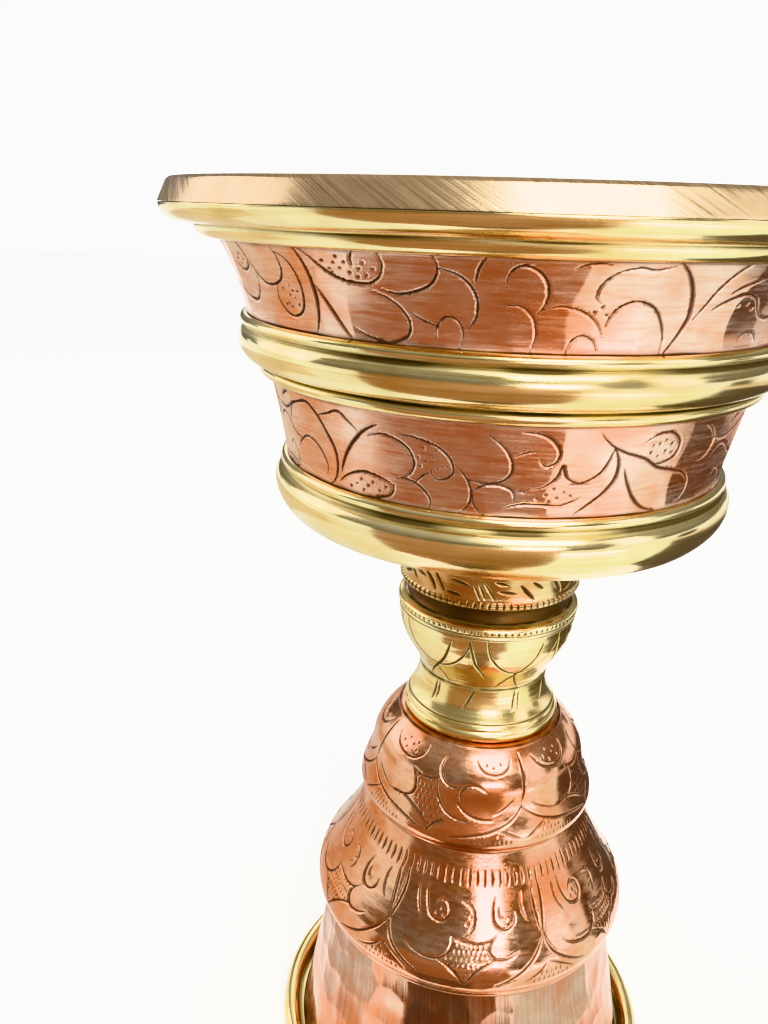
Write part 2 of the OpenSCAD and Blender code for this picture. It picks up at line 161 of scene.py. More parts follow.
card("pale_card_right", [(30, 88, 0.060, 0.003), (30, 88, 0.90, 0.02)], pale_green)
card("white_card_right", [(27, 60, 0.25, 0.007), (27, 60, 0.56, 0.02)], near_white)
card("table_card_right", [(88, 160, 0.52, 0.006), (88, 160, 0.90, 0.02)], table_brown)
card("wall_card_left", [(-130, -56, 0.80, 0.018), (-130, -56, 0.80, 0.22)], left_wall_grey)
card("wall_card_right", [(52, 140, 0.80, 0.018), (52, 140, 0.80, 0.20)], right_wall_grey)
card("dark_patch_right", [(91, 105, 0.78, 0.018), (91, 105, 0.78, 0.15)], near_black)

# The eye is level with the rim, under three rim radii away, and looks down at the neck.
rim_level, rim_radius = 200.5 * MM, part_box("rim_ring")[1].x
eye = Vector((0, -2.687 * rim_radius, rim_level + 0.008 * rim_radius))
turned_left, tipped_down, tilted = math.radians(7.53), math.radians(19.34), math.radians(1.73)
camera_data = bpy.data.cameras.new("camera")
camera_data.sensor_fit = "VERTICAL"
camera_data.angle = math.radians(60.58)
camera_data.clip_start = 0.01
camera = bpy.data.objects.new("camera", camera_data)
level_right = Vector((math.cos(turned_left), math.sin(turned_left), 0))
flat_ahead = Vector((-math.sin(turned_left), math.cos(turned_left), 0))
ahead = flat_ahead * math.cos(tipped_down) - Vector((0, 0, math.sin(tipped_down)))
level_up = level_right.cross(ahead)
right = level_right * math.cos(tilted) + level_up * math.sin(tilted)
up = level_up * math.cos(tilted) - level_right * math.sin(tilted)
camera.matrix_world = Matrix.Translation(eye) @ Matrix((right, up, -ahead)).transposed().to_4x4()
bpy.context.scene.collection.objects.link(camera)
bpy.context.scene.camera = camera

# ---------------------------------------------------------------- bowl liner
# The bowl itself: one sheet of copper raised to a flared cup, with its lip rolled over.
# It is filed and brushed slantwise on the lip, and holds the butter.


def section_of(node):
    """The node's cut section: a closed line of radius and level in mm, outside going up."""
    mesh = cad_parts[node].data
    place = np.empty(len(mesh.vertices) * 3)
    mesh.vertices.foreach_get("co", place)
    place = place.reshape(-1, 3) / MM
    ends = np.empty(len(mesh.edges) * 2, int)
    mesh.edges.foreach_get("vertices", ends)
    on_cut = (np.abs(place[:, 1]) < 1e-3) & (place[:, 0] > -1e-4)
    spot = [tuple(p) for p in np.round(place[:, [0, 2]], 3)]
    beside = {}
    for a, b in ends.reshape(-1, 2):
        if on_cut[a] and on_cut[b] and spot[a] != spot[b]:
            beside.setdefault(spot[a], set()).add(spot[b])
            beside.setdefault(spot[b], set()).add(spot[a])
    line = [min(beside)]
    while True:
        ahead_of = [p for p in beside[line[-1]] if len(line) < 2 or p != line[-2]]
        if not ahead_of or ahead_of[0] == line[0]:
            break
        line.append(ahead_of[0])
    line = np.array(line)
    after = np.roll(line, -1, 0)
    area = (line[:, 0] * after[:, 1] - after[:, 0] * line[:, 1]).sum()
    return line if area > 0 else line[::-1]


def smooth_through(points, step):
    """A smooth line through the points, with short pieces where it bends."""
    p = np.array(points, float)
    if len(p) < 3:
        count = max(1, int(round(np.hypot(*(p[-1] - p[0])) / step)))
        return p[0] + (p[-1] - p[0]) * np.linspace(0, 1, count + 1)[:, None]
    gap = np.hypot(*np.diff(p, axis=0).T)[:, None]
    lean = np.diff(p, axis=0) / gap
    mid = (lean[:-1] * gap[1:] + lean[1:] * gap[:-1]) / (gap[:-1] + gap[1:])
    tangent = np.vstack([2 * lean[0] - mid[0], mid, 2 * lean[-1] - mid[-1]])
    line = []
    for a, b, ta, tb, h in zip(p, p[1:], tangent, tangent[1:], gap):
        count = max(1, int(round(h[0] / step)))
        for t in np.arange(count) / count:
            line.append(
                (2 * t**3 - 3 * t**2 + 1) * a + (t**3 - 2 * t**2 + t) * h * ta
                + (3 * t**2 - 2 * t**3) * b + (t**3 - t**2) * h * tb
            )
    line.append(p[-1])
    return np.array(line)


def is_corner(before, here, after):
    """Whether a section line turns more sharply here than the facets of a curve do."""
    sharpest_curve = 26
    a, b = here - before, after - here
    turn = math.degrees(math.atan2(a[0] * b[1] - a[1] * b[0], a @ b))
    return abs(turn) > sharpest_curve


def worked_line(line, step, edge=0.12, closed=True):
    """The section with its curves smoothed, and its sharp corners eased as a file leaves them."""
    low, high = line.min(0), line.max(0)
    count = len(line)
    inside = range(count) if closed else range(1, count - 1)
    corners = [i for i in inside if is_corner(line[i - 1], line[i], line[(i + 1) % count])]
    if closed:
        line = np.roll(line, -corners[0], 0)
        corners = [i - corners[0] for i in corners] + [count]
        line = np.vstack([line, line[:1]])
    else:
        corners = [0] + corners + [count - 1]
    parts = []
    for i, j in zip(corners, corners[1:]):
        part = smooth_through(line[i : j + 1], step)
        along = np.concatenate([[0], np.cumsum(np.hypot(*np.diff(part, axis=0).T))])
        length = along[-1]
        ease = min(edge, length / 4)
        start = 0 if not closed and i == 0 else ease
        stop = length if not closed and j == count - 1 else length - ease
        inner = along[(along > start + 0.3 * ease) & (along < stop - 0.3 * ease)]
        marks = np.concatenate([[start], inner, [stop]])
        parts.append(np.stack([np.interp(marks, along, part[:, k]) for k in (0, 1)], -1))
    out = []
    for k, part in enumerate(parts):
        out.append(part)
        if closed or k < len(parts) - 1:
            # each corner keeps a point just inside it, between the two eased ends
            before, corner, after = part[-1], line[corners[k + 1]], parts[(k + 1) % len(parts)][0]
            out.append((0.25 * before + 0.5 * corner + 0.25 * after)[None, :])
    return np.clip(np.vstack(out), low, high)


def outward(line, closed):
    """The direction that points out of the metal at each point of a section line."""
    if closed:
        along = np.roll(line, -1, 0) - np.roll(line, 1, 0)
    else:
        along = np.gradient(line, axis=0)
    length = np.maximum(np.hypot(*along.T), 1e-9)[:, None]
    return np.stack([along[:, 1], -along[:, 0]], -1) / length


def hollow_grime_and_shade(line):
    """How dark a section's inner corners are made, from 0 to 1: dirt, and painted shade where
    little light reaches.
    """
    reach, sharpest, share = 0.8, 1.2, 0.8
    turn = np.roll(line, -1, 0) - line
    angle = np.arctan2(turn[:, 1], turn[:, 0])
    bend = (angle - np.roll(angle, 1) + math.pi) % (2 * math.pi) - math.pi
    away = np.hypot(*(line[:, None, :] - line[None, :, :]).transpose(2, 0, 1))
    inner = np.clip(-bend, 0, sharpest)
    near = np.exp(-((away / reach) ** 2))
    return np.clip((near * inner[None, :]).sum(1) * share, 0, 1)


def waves(turns, levels, seed, amount, length, around):
    """The slow waves that hand work leaves in a turned face. They run round without a seam."""
    kinds = 12
    draw = np.random.default_rng(seed)
    total = np.zeros(np.broadcast(turns, levels).shape)
    for _ in range(kinds):
        k = draw.integers(2, max(3, around))
        m = draw.uniform(-1, 1) * 2 * math.pi / length
        total = total + np.sin(k * turns + m * levels + draw.uniform(0, 2 * math.pi))
    return amount * (1 + total / kinds)


def planished(turn, radius, count, seed, share):
    """The narrow upright flats left by planishing on a stake, as a depth below the true round."""
    draw = np.random.default_rng(seed)
    edges = 2 * math.pi * (np.arange(count) + draw.uniform(-0.3, 0.3, count)) / count - math.pi
    edges = np.concatenate([edges, [edges[0] + 2 * math.pi]])
    wrapped = (turn - edges[0]) % (2 * math.pi) + edges[0]
    flat = np.clip(np.searchsorted(edges, wrapped, side="right") - 1, 0, count - 1)
    middle = (edges[flat] + edges[flat + 1]) / 2
    half = (edges[flat + 1] - edges[flat]) / 2
    return share * radius * (1 - np.cos(half) / np.cos(wrapped - middle))


def turned_points(line, sink, columns):
    """Rings of points in metres: the section line swept round, sunk inwards by sink."""
    turns = 2 * math.pi * np.arange(columns) / columns - math.pi
    away = outward(line, True)
    r = line[:, :1] - sink * away[:, :1]
    z = line[:, 1:] - sink * away[:, 1:] + 0 * turns
    return np.stack([r * np.sin(turns), -r * np.cos(turns), z], -1) * MM


def ring_mesh(name, rings, dirt_and_shade):
    """A closed skin from rings of points: round every ring, and from the last ring to the first."""
    count, columns = rings.shape[:2]
    index = np.arange(count * columns).reshape(count, columns)
    above = np.roll(index, -1, 0)
    quads = np.stack([index, np.roll(index, -1, 1), np.roll(above, -1, 1), above], -1)
    quads = quads.reshape(-1, 4)
    mesh = bpy.data.meshes.new(name)
    mesh.vertices.add(count * columns)
    mesh.vertices.foreach_set("co", rings.astype(np.float32).ravel())
    mesh.loops.add(quads.size)
    mesh.loops.foreach_set("vertex_index", quads.astype(np.int32).ravel())
    mesh.polygons.add(len(quads))
    mesh.polygons.foreach_set("loop_start", np.arange(0, quads.size, 4, dtype=np.int32))
    mesh.polygons.foreach_set("use_smooth", np.ones(len(quads), bool))
    mesh.update(calc_edges=True)
    grime_and_shade = mesh.attributes.new("dirt_and_shade", "FLOAT", "POINT")
    grime_and_shade.data.foreach_set("value", dirt_and_shade.astype(np.float32).ravel())
    piece = bpy.data.objects.new(name, mesh)
    bpy.context.scene.collection.objects.link(piece)
    return piece


def fit_piece(piece, node, body, finish):
    """Gives a piece its finish, and puts it in its node's place on the lamp."""
    piece.data.materials.append(finish)
    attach(piece, body)
    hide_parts(node)


def turned_piece(node, body, finish, columns, step, wave, seed):
    """A plain turned or spun piece, with the slight unevenness that hand polishing leaves.
    wave is how deep that is in millimetres, how long up the piece, and how many times round."""
    line = worked_line(section_of(node), step)
    turns = 2 * math.pi * np.arange(columns) / columns - math.pi
    amount, length, around = wave
    sink = waves(turns, line.sum(1)[:, None], seed, amount, length, around)
    # dirt and painted shade in the section's inner corners, patchy round the piece
    grime_and_shade = hollow_grime_and_shade(line)[:, None] * (0.75 + 0.25 * np.sin(7 * turns + 3 * np.sin(3 * turns)))
    piece = ring_mesh(f"{node}_turned", turned_points(line, sink, columns), grime_and_shade)
    fit_piece(piece, node, body, finish)


def polished_metal(name, bright, dull, dark, grain, shine, slant, tarnish, relief):
    """Hand-polished metal: brush marks along the grain, cloudy tarnish, dark dirt in the cuts and
    painted shade in inner corners and along seams.
    grain is how fine the marks are each way, shine the roughness between and on them, slant how
    far they twist round for each metre up, and relief their height in millimetres."""
    metal = bpy.data.materials.new(name)
    metal.use_nodes = True
    nodes, links = metal.node_tree.nodes, metal.node_tree.links
    shader = nodes["Principled BSDF"]
    shader.inputs["Metallic"].default_value = 1.0

    def cloud(vector, scale, detail, rough=0.5):
        node = nodes.new("ShaderNodeTexNoise")
        node.inputs["Scale"].default_value = scale
        node.inputs["Detail"].default_value = detail
        node.inputs["Roughness"].default_value = rough
        links.new(vector, node.inputs["Vector"])
        return node.outputs["Fac"]

    def spread(value, low, high, to_low, to_high):
        node = nodes.new("ShaderNodeMapRange")
        for key, number in zip(range_keys, (low, high, to_low, to_high)):
            node.inputs[key].default_value = number
        links.new(value, node.inputs["Value"])
        return node.outputs["Result"]

    def blend(factor, first, second):
        node = nodes.new("ShaderNodeMix")
        node.data_type = "RGBA"
        sockets = [s for s in node.inputs if s.type == "RGBA"]
        if isinstance(first, tuple):
            sockets[0].default_value = (*first, 1)
        else:
            links.new(first, sockets[0])
        sockets[1].default_value = (*second, 1)
        links.new(factor, node.inputs["Factor"])
        return [s for s in node.outputs if s.type == "RGBA"][0]

    def total(first, second):
        node = nodes.new("ShaderNodeMath")
        node.operation = "ADD"
        links.new(first, node.inputs[0])
        links.new(second, node.inputs[1])
        return node.outputs[0]

    def on_vector(operation, vector, factor=None):
        node = nodes.new("ShaderNodeVectorMath")
        node.operation = operation
        links.new(vector, node.inputs[0])
        if factor:
            node.inputs[1].default_value = factor
        return node

    place = nodes.new("ShaderNodeTexCoord").outputs["Object"]
    grain_place = place
    if slant:
        # the place on a round of one fixed radius, so that the marks keep their slant as it flares
        round_radius, tallest = 0.05, 0.3
        level = nodes.new("ShaderNodeSeparateXYZ")
        links.new(place, level.inputs[0])
        flat = on_vector("MULTIPLY", place, (1, 1, 0))
        unit = on_vector("NORMALIZE", flat.outputs[0])
        twist = nodes.new("ShaderNodeVectorRotate")
        twist.rotation_type = "Z_AXIS"
        links.new(unit.outputs[0], twist.inputs["Vector"])
        turned = spread(level.outputs["Z"], 0, tallest, 0, tallest * slant)
        links.new(turned, twist.inputs["Angle"])
        shrink = on_vector("SCALE", twist.outputs["Vector"])
        shrink.inputs["Scale"].default_value = round_radius
        lift = on_vector("MULTIPLY_ADD", place, (0, 0, 1))
        links.new(shrink.outputs[0], lift.inputs[2])
        grain_place = lift.outputs[0]
    stretch = nodes.new("ShaderNodeMapping")
    stretch.inputs["Scale"].default_value = grain
    links.new(grain_place, stretch.inputs["Vector"])
    brushing = cloud(stretch.outputs["Vector"], 1.0, 4, 0.65)
    fine_cloud = cloud(place, 160, 5, 0.6)
    broad_cloud = cloud(place, 52, 3)
    colour = blend(spread(fine_cloud, 0.42, 0.70, 0, 0.7 * tarnish), bright, dull)
    colour = blend(spread(broad_cloud, 0.46, 0.62, 0, tarnish), colour, dull)
    colour = blend(spread(brushing, 0.30, 0.52, 0.55, 0), colour, dull)
    colour = blend(spread(brushing, 0.54, 0.8, 0, 0.4), colour, bright)
    dirt_and_shade = nodes.new("ShaderNodeAttribute")
    dirt_and_shade.attribute_name = "dirt_and_shade"
    dirt_and_shade_fac = dirt_and_shade.outputs["Fac"]
    # the dark colour where the mesh's mask is high: dirt in the engraved cuts, and painted shade in
    # inner corners and along the seams between parts
    colour = blend(spread(dirt_and_shade_fac, 0.1, 0.85, 0, 0.94), colour, dark)
    links.new(colour, shader.inputs["Base Color"])
    rough = total(spread(brushing, 0.3, 0.7, *shine), spread(broad_cloud, 0.4, 0.8, 0, 0.10))
    rough = total(rough, spread(dirt_and_shade_fac, 0.1, 0.9, 0, 0.45))
    links.new(rough, shader.inputs["Roughness"])
    bumps = nodes.new("ShaderNodeBump")
    bumps.inputs["Strength"].default_value = 0.6
    bumps.inputs["Distance"].default_value = relief * MM
    links.new(brushing, bumps.inputs["Height"])
    links.new(bumps.outputs["Normal"], shader.inputs["Normal"])
    return metal


copper_pale, copper_warm = (0.80, 0.58, 0.46), (0.68, 0.22, 0.07)
# The dark copper colour here is that of dirt in the cuts and of painted shade in corners and along
# seams.
copper_dirt_and_shade = (0.045, 0.014, 0.008)
lip_copper = polished_metal(
    "brushed_copper_lip", (0.61, 0.44, 0.265), (0.35, 0.205, 0.095), copper_dirt_and_shade,
    grain=(2200, 2200, 60), shine=(0.13, 0.30), slant=26.0, tarnish=0.5, relief=0.02,
)
turned_piece(
    "bowl_liner", "bowl", lip_copper,
    columns=480, step=0.6, wave=(0.04, 16, 9), seed=2,
)

# ---------------------------------------------------------------- brass mouldings of the bowl
# Three cast and turned brass rings hold the bowl's walls together: one under the lip,
# a bead and hollow round the middle, and a heavy rounded one at the foot of the wall.
# The last of these is the dark colour of dirt in the cuts and of painted shade in corners and
# seams.
brass_pale, brass_warm, brass_dirt_and_shade = (0.90, 0.76, 0.42), (0.60, 0.40, 0.11), (0.045, 0.026, 0.010)
bright_brass = polished_metal(
    "bright_brass", brass_pale, brass_warm, brass_dirt_and_shade,
    grain=(30, 30, 2400), shine=(0.07, 0.20), slant=0, tarnish=0.45, relief=0.012,
)
for node, step, wave, seed in (
    ("rim_ring", 0.35, (0.06, 12, 15), 3),
    ("mid_ring", 0.35, (0.05, 12, 15), 4),
    ("lower_ring", 0.4, (0.06, 12, 13), 5),
):
    turned_piece(node, "bowl", bright_brass, 480, step, wave, seed)

# ---------------------------------------------------------------- engraved copper walls of the bowl
# Two bands of sheet copper wrap the bowl. The scrolls are cut with a graver, which leaves
# tapered grooves with a small burr, and some leaves are filled with dots struck by a punch.


class FlatSurface:
    """The outside of a turned piece laid flat: u runs round it and v up it, in millimetres."""

    def __init__(self, node, radius, columns, rows, start):
        """start is the turn, from the front, at which the ornament's own u begins."""
        line = section_of(node)
        low = np.nonzero(line[:, 1] < line[:, 1].min() + 0.15)[0]
        high = np.nonzero(line[:, 1] > line[:, 1].max() - 0.01)[0]
        first, last = low[np.argmax(line[low, 0])], high[np.argmax(line[high, 0])]
        line = np.roll(line, -first, 0)
        last = (last - first) % len(line)
        self.node = node
        self.face = worked_line(line[: last + 1], 0.25, 0.1, False)
        self.back = worked_line(np.vstack([line[last:], line[:1]]), 1.2, 0.1, False)[1:-1]
        steps = np.hypot(*np.diff(self.face, axis=0).T)
        self.along = np.concatenate([[0], np.cumsum(steps)])
        self.height = self.along[-1]
        self.radius = radius
        self.round = 2 * math.pi * radius
        self.cell = self.round / columns
        self.left = math.radians(start) * radius
        self.u0 = -self.round / 2 + self.cell * np.arange(columns)
        self.v0 = np.linspace(0, self.height, rows)
        self.v, self.u = np.meshgrid(self.v0, self.u0, indexing="ij")
        self.depth = np.zeros((rows, columns))
        self.burr = np.zeros((rows, columns))
        self.dirt_and_shade = np.zeros((rows, columns))
        self.nearest = np.full((rows, columns), np.inf)

    def patch(self, low, high):
        """Rows and columns beside a cut, and the place of each of their points."""
        rows = np.nonzero((self.v0 > low[1]) & (self.v0 < high[1]))[0]
        first = int(math.floor((low[0] - self.u0[0]) / self.cell))
        last = int(math.ceil((high[0] - self.u0[0]) / self.cell))
        raw = np.arange(first, last + 1)
        columns = raw % len(self.u0)
        shift = (raw // len(self.u0)) * self.round
        v, u = np.meshgrid(self.v0[rows], self.u0[columns] + shift, indexing="ij")
        return rows, columns, shift, u, v

    def cut(self, points, width, depth):
        """A graver's stroke, widest in the middle and tapering to a share of that at its ends."""
        start_share, end_share, beside = 0.35, 0.25, width + 0.4
        line = smooth_through(np.array(points, float) + (self.left, 0), 0.4)
        rows, columns, shift, u, v = self.patch(line.min(0) - beside, line.max(0) + beside)
        if not len(rows):
            return
        near = np.full(u.shape, np.inf)
        near_u, near_v, share = u.copy(), v.copy(), np.zeros(u.shape)
        pieces = len(line) - 1
        for i, (a, b) in enumerate(zip(line, line[1:])):
            d = b - a
            t = np.clip(((u - a[0]) * d[0] + (v - a[1]) * d[1]) / (d @ d + 1e-12), 0, 1)
            away = np.hypot(u - a[0] - t * d[0], v - a[1] - t * d[1])
            closer = away < near
            near[closer] = away[closer]
            near_u[closer] = (a[0] + t * d[0])[closer]
            near_v[closer] = (a[1] + t * d[1])[closer]
            share[closer] = (i + t[closer]) / pieces
        end_width = np.where(share < 0.5, start_share, end_share)
        swell = end_width + (1 - end_width) * np.sin(math.pi * share) ** 0.6
        half = width / 2 * swell
        self.carve(rows, columns, shift, u, v, near, near_u, near_v, half, depth * swell)

    def dot(self, place, radius, depth):
        """A pit struck with a round punch."""
        place = np.array(place, float) + (self.left, 0)
        rows, columns, shift, u, v = self.patch(place - radius - 0.5, place + radius + 0.5)
        if len(rows):
            near = np.hypot(u - place[0], v - place[1])
            self.carve(rows, columns, shift, u, v, near, place[0], place[1], radius, depth)

    def carve(self, rows, columns, shift, u, v, near, near_u, near_v, half, deep):
        """Sinks the groove, raises its burr, and draws the mesh onto its middle and edges."""
        burr_share, burr_at, burr_width, thinnest = 0.16, 1.35, 0.35, 0.15
        across = near / np.maximum(half, 1e-3)
        groove = deep * np.clip(1 - across**2, 0, 1)
        burr = burr_share * deep * np.clip((half - thinnest) / thinnest, 0, 1)
        burr = burr * np.exp(-(((across - burr_at) / burr_width) ** 2))
        dirt_and_shade = np.clip(1.3 - across, 0, 1)
        on_middle = near < 0.55 * self.cell
        on_edge = ~on_middle & (np.abs(near - half) < 0.5 * self.cell)
        goal = np.where(on_middle, near * 0.1, half)
        share = goal / np.maximum(near, 1e-6)
        grid = np.ix_(rows, columns)
        self.depth[grid] = np.maximum(self.depth[grid], groove)
        self.burr[grid] = np.maximum(self.burr[grid], burr)
        self.dirt_and_shade[grid] = np.maximum(self.dirt_and_shade[grid], dirt_and_shade)
        inner_row = (rows > 0) & (rows < len(self.v0) - 1)
        moved = (on_middle | on_edge) & (near < self.nearest[grid]) & inner_row[:, None]
        new_u = near_u + (u - near_u) * share - shift[None, :]
        new_v = np.clip(near_v + (v - near_v) * share, 0.02, self.height - 0.02)
        self.u[grid] = np.where(moved, new_u, self.u[grid])
        self.v[grid] = np.where(moved, new_v, self.v[grid])
        self.nearest[grid] = np.where(moved, near, self.nearest[grid])

    def line_round(self, level, width, depth):
        """A line turned right round the piece."""
        across = np.abs(self.v - level) / (width / 2)
        self.depth = np.maximum(self.depth, depth * np.clip(1 - across**2, 0, 1))
        self.dirt_and_shade = np.maximum(self.dirt_and_shade, np.clip(1.3 - across, 0, 1) * 0.9)

    def repeat(self, count, strokes, dots, depth, jitter, seed):
        """Cuts one stretch of ornament several times round the piece, thin strokes shallower."""
        full_width, dot_radius, dot_depth = 0.55, 0.28, 0.18
        draw = np.random.default_rng(seed)
        start = self.left
        for i in range(count):
            self.left = start + i * self.round / count
            for width, line in strokes:
                shaken = np.array(line, float) + jitter * draw.uniform(-1, 1, (len(line), 2))
                fineness = min(1, (width / full_width) ** 3)
                self.cut(shaken, width, depth * fineness * draw.uniform(0.85, 1.15))
            for place in dots:
                self.dot(place, dot_radius + 0.08 * draw.random(), dot_depth)
        self.left = start

    def ticks_round(self, count, line, width, depth):
        """Cuts one small stroke at even steps right round the piece."""
        for i in range(count):
            across = i * self.round / count
            self.cut([(across + u, v) for u, v in line], width, depth)

    def finish_piece(self, body, finish, wave, seed, flats=0, flat_share=0.0):
        """Makes the piece: the engraved face, closed with the plain back of its section."""
        margin, crease_shade_reach, crease_shade_strength = 0.3, 0.45, 1.1
        columns = len(self.u0)
        r = np.interp(self.v, self.along, self.face[:, 0])
        z = np.interp(self.v, self.along, self.face[:, 1])
        away = outward(self.face, False)
        out_r = np.interp(self.v, self.along, away[:, 0])
        out_z = np.interp(self.v, self.along, away[:, 1])
        amount, length, around = wave
        turn = self.u / self.radius
        sink = waves(turn, self.v, seed, amount, length, around) + self.depth
        sink = sink - self.burr * (self.depth < 0.02)
        if flats:
            wavering = turn + 0.02 * np.sin(self.v / 3)
            sink = sink + planished(wavering, self.radius, flats, seed, flat_share)
        edge = np.minimum(self.v, self.height - self.v)
        sink = sink * np.clip(edge / margin, 0, 1)
        r, z = r - sink * out_r, z - sink * out_z
        face = np.stack([r * np.sin(turn), -r * np.cos(turn), z], -1) * MM
        back = turned_points(self.back, 0 * self.u0 + 0 * self.back[:, :1], columns)
        patchy = 0.8 + 0.2 * np.sin(5 * turn + 2 * np.sin(11 * turn))
        # Painted shade: a dark line along the top and bottom edges of the face, where it meets the
        # next part, patchy round the piece.
        crease_shade = crease_shade_strength * np.exp(-edge / crease_shade_reach) * patchy
        dirt_and_shade = np.vstack([np.maximum(self.dirt_and_shade, crease_shade), np.zeros((len(back), columns))])
        piece = ring_mesh(f"{self.node}_engraved", np.concatenate([face, back]), dirt_and_shade)
        fit_piece(piece, self.node, body, finish)


wall_copper = polished_metal(
    "engraved_copper_wall", copper_pale, copper_warm, copper_dirt_and_shade,
    grain=(140, 140, 2000), shine=(0.12, 0.28), slant=0, tarnish=0.7, relief=0.02,
)
wide, plain, thin = 0.85, 0.65, 0.5

# The scrolls of the upper wall, as drawn on the flat sheet.
upper_wall = FlatSurface("upper_band", radius=52.86, columns=1400, rows=62, start=-75)
upper_scrolls = [
    (plain, [(9.5, 6), (12.5, 4.2), (15.5, 3.5), (18.5, 3.8), (20.8, 5.6), (21.8, 8.6)]),
    (plain, [(17.8, 14), (19.6, 12.2), (20, 10.4), (18.4, 9), (15.6, 8.8), (14.2, 10)]),
    (plain, [
        (21, 10.6), (22.6, 8.4), (25, 7.2), (28, 7.2), (30.4, 8.6), (31.2, 10.8), (30.4, 13.6),
    ]),
    (plain, [
        (31, 12.8), (33.2, 11.6), (34.6, 9), (34.8, 6), (33.6, 3.2), (31, 2.2), (28.6, 3.2),
        (27.6, 5), (28.6, 7),
    ]),
    (wide, [(35.8, 14), (37.3, 11), (38, 7.4), (37.8, 3.6), (36.6, 0)]),
    (plain, [(38.6, 8), (40.4, 5), (42.4, 2.2), (44.6, 0)]),
    (plain, [
        (36.8, 14), (39.5, 12.2), (42.5, 10), (46, 9), (49.2, 9.1), (51, 10.8), (51.2, 12.8),
        (50.6, 14.2),
    ]),
    (thin, [(47.2, 14), (46.6, 12.8), (46.8, 11.6)]),
    (plain, [(50.4, 8.2), (53, 7.6), (56, 8.2), (58.4, 9.6), (59.4, 11.8), (58.6, 14.2)]),
    (plain, [
        (45, 1.8), (48.4, 0.5), (52, 0.3), (54.3, 1.6), (54.6, 3.2), (53.4, 5.2), (51, 7),
        (48.6, 7.8),
    ]),
    (thin, [(54.9, 4.9), (57, 3.8), (59.4, 3.2)]),
    (thin, [(58.8, 1.4), (59, 3.4), (60.4, 4.8), (62, 4.3), (62.8, 2.6), (62.3, 0.2)]),
    (plain, [(59.6, 12), (62, 11.3), (64, 9.4), (64.9, 6.6), (64.4, 4.2), (63.2, 2.8)]),
    (plain, [(66.2, 14.2), (65, 12.2), (64.6, 9.8)]),
    (plain, [
        (68.8, 10.2), (69.2, 12), (70.8, 13), (72.8, 12.2), (74.2, 10.2), (74.3, 7.6), (73, 5.6),
    ]),
    (thin, [(68.4, 6.7), (70.8, 6.9), (72.6, 5.4), (73.3, 3), (72.6, 0)]),
    (thin, [(73.5, 6.2), (76, 7), (79, 6.6), (81.6, 4.9), (83, 2.4)]),
    (thin, [(78, 0.2), (78.6, 2), (80.1, 2.8), (81.8, 2), (82.6, 0.2)]),
    (thin, [(77.4, 12.7), (79.6, 13.6), (82, 13.4)]),
    (thin, [(85, 13), (82.8, 12), (81.2, 10.2), (81, 8.4), (82.4, 7.4)]),
    (thin, [(83.2, 12.2), (85.6, 13), (88.6, 12.9), (91, 13.6)]),
    (wide, [(91.4, 14), (94, 11.6), (95.9, 8.2), (96.4, 5), (95.3, 2.2), (93.4, 0)]),
    (plain, [(83.2, 4.2), (84.4, 6.8), (86.8, 8), (90, 7), (92, 4.6), (93, 2.2), (92.8, 0)]),
    (thin, [(97, 4.4), (98.6, 7), (100, 9.8), (102, 12.4), (104, 14)]),
    (plain, [(100.2, 6.4), (103, 8.1), (106, 9), (108.6, 8.2), (110.4, 6.2), (112, 5)]),
    (thin, [(102.6, 9), (105.4, 10.6), (108.6, 11.5)]),
    (thin, [(108.4, 1.4), (109.6, 2.6), (111.8, 2.5), (113.6, 1)]),
    (thin, [(111, 5.4), (114, 4.8), (118, 5.8)]),
]
upper_dots = [
    (15.8, 10.6), (17.2, 11.6), (18.3, 10.6), (16.9, 9.8), (29.6, 6.6), (31.6, 7.2), (30.4, 4.2),
    (31.2, 5.6), (31, 3.7), (32.4, 5.2), (33.4, 6.4), (32.2, 6.4), (29.6, 4), (33, 4.2), (42.4, 11),
    (43.4, 12), (44.4, 11.2), (42.8, 10.4), (45.4, 12.2), (44.2, 13), (41.4, 12.2), (46, 10.6),
    (47.2, 9.9), (48.6, 10.2), (49.8, 11.2), (48.4, 12.2), (47.6, 11.2), (81.2, 6.3), (82.2, 7),
    (83, 5.9), (105, 7.2), (107, 7.4), (108.6, 6.6),
]
upper_wall.repeat(3, upper_scrolls, upper_dots, depth=0.24, jitter=0.0, seed=11)
upper_wall.finish_piece(
    "bowl", wall_copper, wave=(0.04, 9, 30), seed=21, flats=30, flat_share=0.6
)

